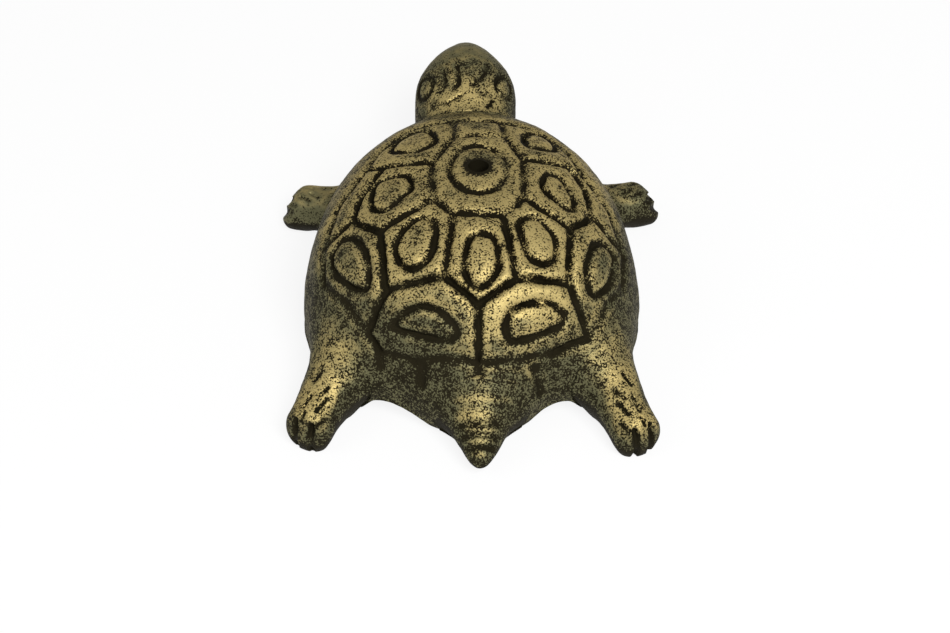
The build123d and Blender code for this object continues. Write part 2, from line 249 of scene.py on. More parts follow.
class TurtleShell(bpy.types.PropertyGroup):
    """Sizes of the shell and its carving"""

    half_width: length_property("Half width", "From the middle to the side of the shell", SHELL_HIGH.x)
    top: length_property("Top", "Height of the crown", SHELL_HIGH.z)
    waist: length_property("Waist", "Height at which the shell is widest", 4.5 * MM)
    rim: length_property("Rim", "Height of the lower edge", SHELL_LOW.z)
    widest: length_property("Widest line", "Place of the widest line along the body", -10.4 * MM)
    front: length_property("Front edge", "Place of the front edge along the body", SHELL_HIGH.y)
    rear: length_property("Rear edge", "Place of the rear edge along the body", SHELL_LOW.y)
    wall: length_property("Wall", "Thickness of the casting", 3.2 * MM)
    fullness: FloatProperty(name="Fullness", description="How square the dome's profile is", default=0.65)
    hole_radius: length_property("Hole radius", "Radius of the stick hole", STICK_HOLE["dims"]["r_mm"] * MM)
    hole_foot: length_property("Hole foot", "Height of the lower end of the stick hole", 21.0 * MM)
    boss_wall: length_property("Boss wall", "Metal round the stick hole under the crown", 3.0 * MM)
    groove_half_width: length_property("Groove half width", "Half the width of a scute line", 0.80 * MM)
    groove_depth: length_property("Groove depth", "Depth of the lines between scutes", 0.95 * MM)
    ring_half_width: length_property("Ring half width", "Half the width of the ring in a scute", 0.70 * MM)
    ring_depth: length_property("Ring depth", "Depth of the ring in a scute", 0.75 * MM)
    pillow: length_property("Pillow", "Rise of a scute from its edge to its middle", 0.35 * MM)
    hole_ring_wide: length_property("Hole ring width", "Half width of the ring round the hole", 5.0 * MM)
    hole_ring_long: length_property("Hole ring length", "Half length of the ring round the hole", 6.9 * MM)
    peg_reach: length_property("Peg reach", "How far the limbs' pegs show in the hollow", 1.2 * MM)
    arch_rise: length_property("Arch rise", "Rise of the rim between a hind leg and the tail", 2.4 * MM)
    arch_top: length_property("Arch top", "Height above which the arches change nothing", 9.0 * MM)
    turns: IntProperty(name="Steps round", description="Mesh steps round the stick hole", default=560)
    steps: IntProperty(name="Steps down", description="Mesh steps from the hole to the rim", default=124)
    lining_steps: IntProperty(name="Lining steps", description="Mesh steps down the inside", default=22)


class TurtleMarks(bpy.types.PropertyGroup):
    """Sizes of the marks on the head, legs and tail"""

    half_width: length_property("Stroke half width", "Half the width of a scale line", 0.48 * MM)
    depth: length_property("Stroke depth", "Depth of a scale line", 0.40 * MM)
    eye_half_width: length_property("Eye ring half width", "Half the width of an eye's ring", 0.6 * MM)
    eye_depth: length_property("Eye ring depth", "Depth of the ring round an eye", 0.6 * MM)
    toe_share: FloatProperty(name="Toe spread", description="Place of a notch across the foot", default=0.36)
    toe_half_width: length_property("Toe notch half width", "Half the width of a toe notch", 0.8 * MM)
    toe_depth: length_property("Toe notch depth", "Depth of a notch between toes", 0.9 * MM)
    valley_half_width: length_property("Tail valley half width", "Half the width of a tail dip", 0.70 * MM)
    valley_depth: length_property("Tail valley depth", "Depth of a dip on the tail", 0.4 * MM)
    # Painted shade: the limbs are painted black up to this height above the ground
    shade: length_property("Shade", "Height above the ground up to which the limbs stay black", 1.8 * MM)
    peg_radius: length_property("Peg radius", "Radius of the pegs of the legs and the tail", 1.6 * MM)
    head_peg_radius: length_property("Head peg radius", "Radius of the peg of the head", 4.0 * MM)


class TurtleFinish(bpy.types.PropertyGroup):
    """Colours and grain of the gilded iron"""

    iron: colour_property("Iron", "Black iron in the lines and pits, sRGB hex", "17140c")
    gold: colour_property("Gold", "Bright rubbed gold, sRGB hex", "b8a56d")
    olive: colour_property("Old gold", "Thin gold over black, sRGB hex", "67654a")
    smear: colour_property("Smear", "Black with a trace of wax on it, sRGB hex", "211e14")
    pit: length_property("Pit size", "Size of the pits in the cast skin", 0.31 * MM)
    patch: length_property("Patch size", "Size of the patches where the gold is thin", 6.0 * MM)


class TurtleStage(bpy.types.PropertyGroup):
    """Camera, lamps and floor"""

    distance: length_property("Camera distance", "From the camera to the point it looks at", 369.3 * MM)
    target: FloatVectorProperty(
        name="Target", description="Point on the ground that the camera looks at", subtype="TRANSLATION",
        unit="LENGTH", default=(0.6 * MM, -7.73 * MM, 0.0),
    )
    elevation: FloatProperty(
        name="Elevation", description="Camera height above the horizon", subtype="ANGLE",
        default=math.radians(45.0),
    )
    view_angle: FloatProperty(
        name="View angle", description="Width of the view", subtype="ANGLE", default=math.radians(26.0)
    )
    floor: colour_property("Floor", "Colour of the floor, sRGB hex", "ffffff")


class Dome:
    """Outer face of the shell, or a face parallel to it moved out by grow."""

    steps = 400

    def __init__(self, shell, grow=0.0):
        self.half_width = shell.half_width + grow
        self.top = shell.top + grow
        self.waist = shell.waist
        self.widest = shell.widest
        self.front_length = shell.front - shell.widest + grow
        self.rear_length = shell.widest - shell.rear + grow
        t = np.linspace(0.0, 1.0, self.steps)
        full = shell.fullness
        self.profile_share = 3 * full * t * (1 - t) ** 2 + 3 * t**2 * (1 - t) + t**3
        self.profile_rise = (1 - t) ** 3 + 3 * t * (1 - t) ** 2 + 3 * full * t**2 * (1 - t)

    def plan_share(self, x, y):
        lengths = np.where(y > self.widest, self.front_length, self.rear_length)
        return np.hypot(x / self.half_width, (y - self.widest) / lengths)

    def height(self, x, y):
        rise = np.interp(self.plan_share(x, y), self.profile_share, self.profile_rise)
        return self.waist + rise * (self.top - self.waist)

    def point(self, share):
        """Point on the dome over a plan place given in shares."""
        x = share[0] * self.half_width
        y = self.widest + share[1] * (self.front_length if share[1] > 0 else self.rear_length)
        return np.array((x, y, float(self.height(np.array(x), np.array(y)))))

    def level(self, p):
        """Below 0 inside the dome and above 0 outside."""
        plan = self.plan_share(p[:, 0], p[:, 1])
        rise = np.clip((p[:, 2] - self.waist) / (self.top - self.waist), 0.0, None)
        turns = np.arctan2(self.profile_rise, self.profile_share)[::-1]
        size = np.interp(np.arctan2(rise, plan), turns, np.hypot(self.profile_share, self.profile_rise)[::-1])
        return np.hypot(plan, rise) / size - 1.0

    def reach(self, angle, x, y):
        """Distance from a plan point to the outline at the waist, in each direction."""
        way = np.stack([np.cos(angle), np.sin(angle)], axis=1)

        def inside(distance):
            place = np.array((x, y)) + way * distance[:, None]
            return self.plan_share(place[:, 0], place[:, 1]) < 1.0

        return last_inside(inside, np.full(len(angle), self.front_length + self.rear_length))


class Limb:
    """Round limb along an axis, with oval sections given as shares of its half width and half height."""

    roundness = 2.2
    root_share = 0.15
    steps = 200
    farthest = 4.0  # ways' lengths from an inner point within which the skin lies

    def __init__(self, root, turn, rise, length, half_width, half_height, stations, blunt, slant):
        turn, rise = math.radians(turn), math.radians(rise)
        self.root = np.array(root)
        self.along = np.array(
            (math.cos(turn) * math.cos(rise), math.sin(turn) * math.cos(rise), math.sin(rise))
        )
        self.across = np.array((math.sin(turn), -math.cos(turn), 0.0))
        self.up = np.cross(self.across, self.along)
        self.length = length
        self.half_width = half_width
        self.half_height = half_height
        self.blunt = blunt
        self.slant = slant
        places, wide, high = np.array(stations).T
        self.places = np.linspace(places[0], 1.0, self.steps)
        self.wide = smooth_curve(self.places, places, wide)
        self.high = smooth_curve(self.places, places, high)

    def world(self, place, side, up):
        """Point from a share along the limb and distances to its side and up."""
        return self.root + self.along * (place * self.length) + self.across * side + self.up * up

    def place_of(self, p):
        return (p - self.root) @ self.along / self.length

    def level(self, p):
        """Below 0 inside the limb and above 0 outside."""
        q = p - self.root
        place = q @ self.along / self.length
        wide = np.interp(place, self.places, self.wide) * self.half_width
        high = np.interp(place, self.places, self.high) * self.half_height
        round_it = np.hypot(q @ self.across / wide, q @ self.up / high)
        leaning = place + self.slant * (q @ self.up) / self.half_height
        tip = np.clip((leaning - self.blunt) / (1.0 - self.blunt), 0.0, None)
        start = np.clip((self.places[0] + self.root_share - place) / self.root_share, 0.0, None)
        power = self.roundness
        return (round_it**power + tip**power + start**power) ** (1 / power) - 1.0

    def skin(self, origin, ways):
        """Points of the skin straight out from an inner point."""
        ways = np.atleast_2d(ways)

        def inside(far):
            return self.level(origin + ways * far[:, None]) < 0.0

        return origin + ways * last_inside(inside, np.full(len(ways), self.farthest))[:, None]

    def on_skin(self, place, angle):
        """Point of the skin at a share along the limb and an angle from its right side over its top."""
        turn = math.radians(angle)
        way = self.across * self.half_width * math.cos(turn) + self.up * self.half_height * math.sin(turn)
        return self.skin(self.world(place, 0.0, 0.0), way)[0]


def last_inside(inside, high, halvings=40):
    """Largest distance at which a test still holds, by halving."""
    low = np.zeros_like(high)
    for _ in range(halvings):
        middle = (low + high) / 2
        held = inside(middle)
        low = np.where(held, middle, low)
        high = np.where(held, high, middle)
    return low


def smooth_curve(at, places, values):
    """Hermite curve through a few values, with the slope at each taken from its neighbours."""
    slopes = np.gradient(values, places)
    k = np.clip(np.searchsorted(places, at) - 1, 0, len(places) - 2)
    span = places[k + 1] - places[k]
    t = (at - places[k]) / span
    return (
        values[k] * (1 + 2 * t) * (1 - t) ** 2
        + slopes[k] * span * t * (1 - t) ** 2
        + values[k + 1] * t**2 * (3 - 2 * t)
        + slopes[k + 1] * span * t**2 * (t - 1)
    )


def ease(low, high, value):
    """Smooth rise from 0 at the low value to 1 at the high one."""
    t = np.clip((value - low) / (high - low), 0.0, 1.0)
    return t * t * (3 - 2 * t)


def slope_of(field, p, step=0.02 * MM):
    """Steepest way up a field at each point."""
    return np.stack(
        [(field(p + offset) - field(p - offset)) / (2 * step) for offset in np.eye(3) * step], axis=1
    )


def unit(ways):
    return ways / np.maximum(np.linalg.norm(ways, axis=1, keepdims=True), 1e-9)


def distance_to(form, p):
    """Distance from a form's face, to first order: negative inside."""
    slope = np.linalg.norm(slope_of(form.level, p), axis=1)
    return form.level(p) / np.maximum(slope, 1.0)


def soft_union(a, b, radius):
    """Distance from two forms that run together with a radius."""
    mix = np.clip(0.5 + 0.5 * (b - a) / radius, 0.0, 1.0)
    return b * (1 - mix) + a * mix - radius * mix * (1 - mix)


def flow_together(p, own, other, radius, sink=1.2 * MM, rounds=5):
    """Moves the skin of one form so that it runs smoothly into another, and then under the other's skin.

    Only points near the other skin move, and those well under it are let go.
    """

    def joint(q):
        return soft_union(distance_to(own, q), distance_to(other, q), radius)

    near = np.flatnonzero(np.abs(distance_to(other, p)) < FLOW_NEAR * radius)
    start = p[near]
    under = -distance_to(other, start)
    free = 1.0 - ease(FLOW_FREE[0] * radius, FLOW_FREE[1] * radius, under)
    q = start
    for _ in range(rounds):
        q = q - unit(slope_of(joint, q)) * (free * joint(q))[:, None]
    sunk = sink * ease(FLOW_SINK[0] * radius, FLOW_SINK[1] * radius, under)
    q = q - unit(slope_of(joint, q)) * sunk[:, None]
    moved = p.copy()
    moved[near] = q
    return moved


def points_of(bm):
    return np.array([v.co for v in bm.verts])


def set_points(bm, p):
    for vert, co in zip(bm.verts, p):
        vert.co = co
    bm.normal_update()


def turn_outwards(bm):
    """Makes the faces of a closed mesh agree and point out of it."""
    bmesh.ops.recalc_face_normals(bm, faces=bm.faces[:])
    if bm.calc_volume(signed=True) < 0.0:
        bmesh.ops.reverse_faces(bm, faces=bm.faces[:])
    bm.normal_update()


def normals_of(bm):
    return np.array([v.normal for v in bm.verts])


def lumps(p, size, seed):
    """Slow hand-worked unevenness, about -1 to 1."""
    shift = Vector((seed, seed * 0.7, seed * 1.3))
    return np.array([noise.noise(Vector(co) / size + shift) for co in p])


def waver(p, much, size, seed):
    """Slow change round 1."""
    return 1.0 + much * lumps(p, size, seed)


def hand_worked(p):
    """How far the worked skin lies under the drawn one, the same for every piece, so that skins meet."""
    depth = SKIN_DEPTH
    for height, size, seed in SKIN_LUMPS:
        depth = depth - height * lumps(p, size, seed)
    return depth


def wander(line, by=0.22 * MM, size=4.0 * MM, seed=1):
    """The same line drawn by an unsteady hand, in the same way at every run."""
    noise.seed_set(seed)
    return line + by * np.array([noise.noise_vector(Vector(co) / size) for co in line])


def round_line(corners, steps=8):
    """Smooth closed line through a few corners."""
    ahead = np.array(corners)
    before, beyond, far = np.roll(ahead, 1, axis=0), np.roll(ahead, -1, axis=0), np.roll(ahead, -2, axis=0)
    runs = [
        ahead + 0.5 * t * (beyond - before + t * (2 * before - 5 * ahead + 4 * beyond - far
                                                  + t * (3 * (ahead - beyond) + far - before)))
        for t in np.linspace(0.0, 1.0, steps, endpoint=False)
    ]
    line = np.stack(runs, axis=1).reshape(-1, ahead.shape[1])
    return np.vstack([line, line[:1]])


def fill_in(line, spacing=0.15 * MM):
    """Points along a line no further apart than the spacing."""
    runs = []
    for start, end in zip(line[:-1], line[1:]):
        count = max(2, int(np.linalg.norm(end - start) / spacing) + 1)
        runs.append(start + (end - start) * np.linspace(0.0, 1.0, count)[:, None])
    return np.vstack(runs)


class Chisel:
    """Carved lines, each with its own half width, depth and blackness."""

    # How the width, depth and blackness of a line waver: how much, over what size, and the noise's seed
    width_waver = (0.35, 1.8 * MM, 5.0)
    press_waver, press_range = (1.1, 4.0 * MM, 6.0), (0.4, 1.3)
    stain_waver, stain_range = (1.4, 2.6 * MM, 7.0), (0.3, 1.3)
    stain_edge = (0.1, 1.25)  # shares of the half width between which the black fades out
    roundness = 1.3

    def __init__(self):
        self.points, self.tools = [], []

    def line(self, points, half_width, depth, black):
        points = wander(fill_in(np.asarray(points)))
        self.points.append(points)
        self.tools += [(half_width, depth, black)] * len(points)

    def stroke(self, limb, spots, marks, strength):
        """A scale line through places on a limb's skin."""
        line = [limb.on_skin(*spot) for spot in spots]
        self.line(line, marks.half_width, strength * marks.depth, STROKE_BLACK * strength)

    def cut(self, p):
        """Depth of cut, blackness and distance from the nearest line at each point."""
        marks = np.vstack(self.points)
        tree = kdtree.KDTree(len(marks))
        for index, mark in enumerate(marks):
            tree.insert(mark, index)
        tree.balance()
        index, gap = (np.array(column) for column in zip(*(tree.find(co)[1:] for co in p)))
        half_width, depth, black = np.array(self.tools)[index].T
        share = gap / (half_width * waver(p, *self.width_waver))
        press = np.clip(waver(p, *self.press_waver), *self.press_range)
        stain = np.clip(waver(p, *self.stain_waver), *self.stain_range)
        depth = depth * press * np.clip(1 - share**2, 0, 1) ** self.roundness
        return depth, black * stain * (1.0 - ease(*self.stain_edge, share)), gap


def finish_piece(bm, name, node, carved, wax_and_light, sharp=62.0):
    """Turns a bmesh into a piece that stands for a node, with its carving and painted shade, and its gold
    with painted light, stored for the material.
    """
    mesh = bpy.data.meshes.new(name)
    bm.to_mesh(mesh)
    bm.free()
    for label, values, bare in (("carved", carved, 1.0), ("wax_and_light", wax_and_light, 0.0)):
        layer = mesh.attributes.new(label, "FLOAT", "POINT")
        untouched = np.full(len(mesh.vertices) - len(values), bare)
        layer.data.foreach_set("value", np.append(values, untouched).astype(np.float32))
    mesh.shade_smooth()
    mesh.set_sharp_from_angle(angle=math.radians(sharp))
    mesh.materials.append(gilded_cast_iron())
    piece = bpy.data.objects.new(name, mesh)
    bpy.context.collection.objects.link(piece)
    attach(piece, "root")
    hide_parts(node)
    return piece


def spin_profile(profile, turns):
    """Closed mesh made by spinning a closed profile of radius and height right round the Z axis."""
    bm = bmesh.new()
    verts = [bm.verts.new((radius, 0.0, height)) for radius, height in profile]
    edges = [bm.edges.new(pair) for pair in zip(verts, verts[1:] + verts[:1])]
    bmesh.ops.spin(
        bm, geom=verts + edges, cent=(0, 0, 0), axis=(0, 0, 1), angle=math.tau, steps=turns, use_merge=True
    )
    return bm


def plain_shell(shell):
    """Closed mesh of the uncarved shell: outer face, rim, hollow, boss and stick hole.

    It is spun with a plain round plan, where a radius of 1 is the hole and 2 the shell's outline and the
    height tells the part of the face, and each point is then moved to its place.
    """
    outer, inner = Dome(shell), Dome(shell, -shell.wall)

    def face(steps, start, rows=6, crowding=0.88):
        """Profile of one face from the foot of the stick hole over the dome to the rim."""
        shares = np.sin(np.linspace(0.0, math.pi / 2, steps)) ** crowding
        bore = [(1.0, start + k / rows) for k in range(rows)]
        roof = [(1.0 + share, start + ROOF) for share in shares]
        wall = [(2.0, start + WALL + k / rows) for k in range(1, rows + 1)]
        return bore + roof + wall

    bm = spin_profile(face(shell.steps, 0.0) + face(shell.lining_steps, LINING)[::-1], shell.turns)
    p = points_of(bm)
    angle = np.arctan2(p[:, 1], p[:, 0])
    share = np.hypot(p[:, 0], p[:, 1]) - 1.0
    inside = p[:, 2] > LINING - 0.5
    for dome, radius, part in (
        (outer, shell.hole_radius, ~inside), (inner, shell.hole_radius + shell.boss_wall, inside)
    ):
        code = p[part, 2] % LINING
        span = radius + share[part] * (dome.reach(angle[part], *HOLE_PLACE) - radius)
        x = HOLE_PLACE[0] + span * np.cos(angle[part])
        y = HOLE_PLACE[1] + span * np.sin(angle[part])
        roof = dome.height(x, y)
        bore = shell.hole_foot + code * (roof - shell.hole_foot)
        wall = dome.waist + (code - WALL) * (shell.rim - dome.waist)
        z = np.where(code < ROOF - 0.5, bore, np.where(code < ROOF + 0.5, roof, wall))
        p[part] = np.stack([x, y, z], axis=1)
    set_points(bm, p)
    turn_outwards(bm)
    return bm, outer


def scute_chisel(shell, dome):
    """The lines between the scutes, the ring in each, the ring round the hole and the skirt's marks."""
    chisel = Chisel()

    def carve(shares, half_width, depth, black=1.0):
        chisel.line([dome.point(share) for share in shares], half_width, depth, black)

    edges = {tuple(sorted(pair)) for scute in SCUTES for pair in zip(scute, scute[1:] + scute[0])}
    steps = np.linspace(0.0, 1.0, 24)[:, None]
    for first, second in sorted(edges):
        start, end = np.array(CORNER_SHARES[first]), np.array(CORNER_SHARES[second])
        strength = WORN_LINES.get(first + second, 1.0)
        carve(start + (end - start) * steps, shell.groove_half_width, strength * shell.groove_depth, strength)
    for ring in RING_SHARES:
        carve(round_line(ring), shell.ring_half_width, shell.ring_depth)
    wide, deep = SKIRT_MARK_WIDTH * shell.groove_half_width, SKIRT_MARK_DEPTH * shell.groove_depth
    for mark in SKIRT_MARK_SHARES:
        carve(mark, wide, deep, SKIRT_MARK_BLACK)
    for first, last, strength in HOLE_RING_ARCS:
        turn = np.radians(np.linspace(first, last, 40))
        x = HOLE_PLACE[0] + shell.hole_ring_wide * np.cos(turn)
        y = HOLE_PLACE[1] + shell.hole_ring_long * np.sin(turn)
        arc = np.column_stack([x, y, dome.height(x, y)])
        chisel.line(arc, shell.ring_half_width, strength * shell.ring_depth, strength)
    return chisel


def limb_forms(dome):
    """The six limbs by node name, each with the radius at which it runs into the shell.

    A limb starts over a place in shares of the shell. Its level and sizes are in millimetres, and its turn
    from the right and its rise in degrees. Its tip is round from the blunt share on, and leans by the slant.
    """

    def limb(share, level, length, half_width, half_height, **form):
        root = (*dome.point(share)[:2], level * MM)
        sizes = {"length": length * MM, "half_width": half_width * MM, "half_height": half_height * MM}
        return Limb(root, **sizes, **form)

    def leg_pair(share, turns, lengths, **form):
        """Left and right leg, with a turn forwards and a length for each."""
        left = limb((-share[0], share[1]), turn=180.0 - turns[0], length=lengths[0], **form)
        return left, limb(share, turn=turns[1], length=lengths[1], **form)

    head = limb(
        (-0.04, 0.70), level=11.0, turn=90.0, rise=17.5, length=28.7, half_width=9.8, half_height=8.6,
        stations=HEAD_SHARES, blunt=0.60, slant=0.0,
    )
    tail = limb(
        (0.05, -0.71), level=8.0, turn=-90.0, rise=-16.0, length=19.1, half_width=5.6, half_height=4.6,
        stations=TAIL_SHARES, blunt=0.72, slant=0.0,
    )
    front = leg_pair(
        (0.63, 0.58), level=5.6, turns=(15.0, 20.0), rise=-8.0, lengths=(17.0, 16.9), half_width=4.6,
        half_height=4.4, stations=FRONT_LEG_SHARES, blunt=0.82, slant=0.13,
    )
    rear = leg_pair(
        (0.67, -0.51), level=7.4, turns=(-64.0, -64.0), rise=-14.0, lengths=(20.1, 21.3), half_width=4.5,
        half_height=5.0, stations=REAR_LEG_SHARES, blunt=0.84, slant=0.05,
    )
    return {
        "head": (head, 2.0 * MM),
        "front_left_leg": (front[0], 4.0 * MM),
        "front_right_leg": (front[1], 4.0 * MM),
        "rear_left_leg": (rear[0], 7.0 * MM),
        "rear_right_leg": (rear[1], 7.0 * MM),
        "tail": (tail, 8.0 * MM),
    }


def raise_arches(p, forms, shell):
    """Lifts what stands lowest between the hind legs and the tail, which leaves an arch on either side."""
    tail = forms["tail"][0]
    lift = np.zeros(len(p))
    for node in ("rear_left_leg", "rear_right_leg"):
        leg = forms[node][0]
        inwards = leg.across * np.sign((tail.root - leg.root) @ leg.across)
        side = (p - leg.root) @ inwards / leg.half_width
        lift += shell.arch_rise * ease(*ARCH_START, side) * (1 - ease(*ARCH_END, side))
    lift *= ease(*ARCH_CLEAR, np.abs(p[:, 0] - tail.root[0]) / tail.half_width)
    lift *= 1 - ease(*ARCH_IN, (p[:, 1] - shell.rear) / shell.wall)
    p[:, 2] += lift * np.clip((shell.arch_top - p[:, 2]) / (shell.arch_top - shell.rim), 0.0, 1.0)


def clay_limb(node, forms, dome, shell):
    """A ball of clay pressed out to the limb's form, run into the shell and kept within the shell's wall."""
    limb, radius = forms[node]
    bm = bmesh.new()
    bmesh.ops.create_icosphere(bm, subdivisions=BALL_DETAIL, radius=1.0)
    ball = points_of(bm) * (limb.length * BALL_REACH, limb.half_width, limb.half_height)
    p = limb.skin(limb.world(BALL_ALONG, 0.0, 0.0), ball @ np.array((limb.along, limb.across, limb.up)))
    p = flow_together(p, limb, dome, radius)
    deep = np.minimum(distance_to(dome, p) + WALL_SHARE * shell.wall, 0.0)
    p = p - unit(slope_of(dome.level, p)) * deep[:, None]
    kept = KEPT_HEIGHT * shell.rim * (1.0 - ease(0.0, KEPT_FADE, distance_to(dome, p)))
    p[:, 2] = np.maximum(p[:, 2], kept)
    raise_arches(p, forms, shell)
    set_points(bm, p)
    turn_outwards(bm)
    return bm


def add_peg(bm, limb, dome, shell, radius):
    """The round peg that goes through the shell wall and shows a little in the hollow."""
    steps = np.linspace(0.0, limb.length, 400)[:, None]
    depth = distance_to(dome, limb.root + limb.along * steps)
    inner = float(steps[np.argmin(np.abs(depth + shell.wall + shell.peg_reach)), 0])
    outer = float(steps[np.argmin(np.abs(depth + PEG_START * shell.wall)), 0])
    turn = Vector(limb.along).to_track_quat("Z", "Y").to_matrix().to_4x4()
    turn.translation = Vector(limb.root + limb.along * (inner + outer) / 2)
    made = bmesh.ops.create_cone(
        bm, cap_ends=True, segments=40, radius1=radius, radius2=radius, depth=outer - inner, matrix=turn
    )
    ends = {face for vert in made["verts"] for face in vert.link_faces if len(face.verts) > 4}
    bmesh.ops.bevel(
        bm, geom=list({edge for face in ends for edge in face.edges}), offset=PEG_ROUNDING * radius,
        segments=2, profile=0.5, affect="EDGES", material=-1,
    )


def rubbed(p, normals, gap, dome, spots=()):
    """How much gold each point shows: wax, most on level skin and beside the lines, with some places missed;
    and painted light and shade, brighter on level skin lit from above and darker towards the front and at
    some spots.
    """
    # More gold on level skin: partly wax, partly painted light from above
    wax = WAX_LEAST + LEVEL_WAX_AND_LIGHT * ease(*LEVEL_RANGE, normals[:, 2])
    wax += WAX_EDGE * np.exp(-(((gap - EDGE_GAP) / EDGE_SPREAD) ** 2))
    # Painted shade: less gold towards the front
    wax -= FRONT_PAINTED_SHADE * ease(*FRONT_RANGE, (p[:, 1] - dome.widest) / dome.front_length)
    places = [(dome.point(share), size, amount) for share, size, amount in WAX_AND_LIGHT_SPOTS]
    for place, size, amount in (*places, *spots):
        wax += amount * np.exp(-(np.linalg.norm(p - place, axis=1) / (size * MM)) ** 2)
    return wax


def limb_spots(limb, spots):
    """Places on a limb's skin where the wax went on thick or thin."""
    return [(limb.on_skin(along, angle), size, amount) for along, angle, size, amount in spots]


def carve_limb(bm, limb, chisel, dome, marks, under=0.8, smooth=0.0, smooth_range=None, spots=()):
    """Cuts the chisel's lines into a limb; gives the blackness, painted shade included, and the gold of each
    point.

    The soles stay on the ground. Away from the shell the skin is painted black underneath and near the
    ground, as painted shade, and has few pits where it is smooth, which may come in over a range of shares
    along the limb.
    """
    p = points_of(bm)
    normals = normals_of(bm)
    if smooth_range:
        smooth = smooth * ease(*smooth_range, limb.place_of(p))
    away = ease(0.0, AWAY, distance_to(dome, p))
    depth, black, gap = chisel.cut(p)
    lifted = ease(0.0, SOLE, p[:, 2])
    ways = unit(normals * lifted[:, None] + unit(slope_of(limb.level, p)) * (1.0 - lifted)[:, None])
    moves = ways * (hand_worked(p) + depth)[:, None]
    moves[:, 2] *= lifted
    p -= moves
    p[:, 2] = np.maximum(p[:, 2], 0.0)
    set_points(bm, p)
    # Painted shade: black near the ground and where the skin faces down, away from the shell
    painted_ground_shade = 1.0 - ease(SHADE_CORE * marks.shade, marks.shade, p[:, 2])
    painted_underside_shade = 1.0 - ease(*FACING_DOWN, normals[:, 2])
    black = np.maximum(black, under * away * np.maximum(painted_ground_shade, painted_underside_shade))
    return black - smooth * away * (1.0 - np.clip(black, 0.0, 1.0)), rubbed(p, normals, gap, dome, spots)


def cast_limb(scene, name, node, forms, dome, chisel, peg_radius, **finish):
    """Presses out a limb, carves it, adds its peg and makes it a piece."""
    limb = forms[node][0]
    bm = clay_limb(node, forms, dome, scene.turtle_shell)
    black, wax_and_light = carve_limb(bm, limb, chisel, dome, scene.turtle_marks, **finish)
    add_peg(bm, limb, dome, scene.turtle_shell, peg_radius)
    finish_piece(bm, name, node, black, wax_and_light)


class TURTLE_OT_carapace(bpy.types.Operator):
    """Cast the hollow shell with its carved scutes and stick hole"""

    bl_idname = "turtle.carapace"
    bl_label = "Carapace"

    def execute(self, context):
        shell = context.scene.turtle_shell
        bm, dome = plain_shell(shell)
        p = points_of(bm)
        from_hole = np.hypot(*(p[:, :2] - HOLE_PLACE).T)
        outside = dome.level(p) > -OUTER_DEPTH * shell.wall / shell.half_width
        outside &= from_hole > BORE_EDGE * shell.hole_radius
        depth, black, gap = scute_chisel(shell, dome).cut(p)
        plan = dome.plan_share(p[:, 0], p[:, 1])
        rise = shell.pillow * ease(0.0, PILLOW_REACH, gap) * (1 - ease(*PILLOW_END, plan))
        moves = np.zeros_like(p)
        forms = limb_forms(dome)
        for limb, radius in forms.values():
            rise *= ease(PILLOW_CLEAR[0] * radius, PILLOW_CLEAR[1] * radius, distance_to(limb, p))
            moves += flow_together(p, dome, limb, radius) - p
        p[outside] += moves[outside]
        set_points(bm, p)
        normals = normals_of(bm)
        p += normals * np.where(outside, rise - depth - hand_worked(p), 0.0)[:, None]
        p[:, 2] = np.clip(p[:, 2], shell.rim, shell.top)
        raise_arches(p, forms, shell)
        set_points(bm, p)
        # Partly painted shade: less gold on the skirt
        wax_and_light = rubbed(p, normals, gap, dome) - SKIRT_DULL_AND_SHADE * ease(*SKIRT_RANGE, plan)
        stain = HOLE_STAIN * (1.0 - ease(*HOLE_STAIN_RANGE, from_hole / shell.hole_radius))
        black = np.maximum(black, stain)
        finish_piece(bm, "carved_carapace", "carapace", np.where(outside, black, 1.0), wax_and_light)
        return {"FINISHED"}


class TURTLE_OT_head(bpy.types.Operator):
    """Cast the head with its ringed eyes, crown scales and mouth line"""

    bl_idname = "turtle.head"
    bl_label = "Head"

    def execute(self, context):
        marks = context.scene.turtle_marks
        dome = Dome(context.scene.turtle_shell)
        forms = limb_forms(dome)
        limb = forms["head"][0]
        chisel = Chisel()
        along, around = EYE_SPREAD
        for angle in EYE_ANGLES:
            ring = [
                limb.on_skin(EYE_ALONG + along * math.cos(turn), angle + around * math.sin(turn))
                for turn in np.linspace(0.0, math.tau, 40)
            ]
            chisel.line(ring, marks.eye_half_width, marks.eye_depth, EYE_BLACK)
        for strength, spots in CROWN_STROKES:
            chisel.stroke(limb, spots, marks, strength)
        sweep = np.radians(np.linspace(-MOUTH_SWEEP, MOUTH_SWEEP, 60))[:, None]
        ways = limb.along * np.cos(sweep) + limb.across * np.sin(sweep)
        middle = limb.world(MOUTH_ALONG, 0.0, MOUTH_DROP * limb.half_height)
        chisel.line(limb.skin(middle, ways * limb.half_width), marks.half_width, marks.depth, MOUTH_BLACK)
        cast_limb(
            context.scene, "head_with_eyes", "head", forms, dome, chisel, marks.head_peg_radius,
            under=HEAD_UNDERSIDE_SHADE, smooth=SNOUT_SMOOTH, smooth_range=SNOUT, spots=limb_spots(limb, HEAD_SPOTS),
        )
        return {"FINISHED"}


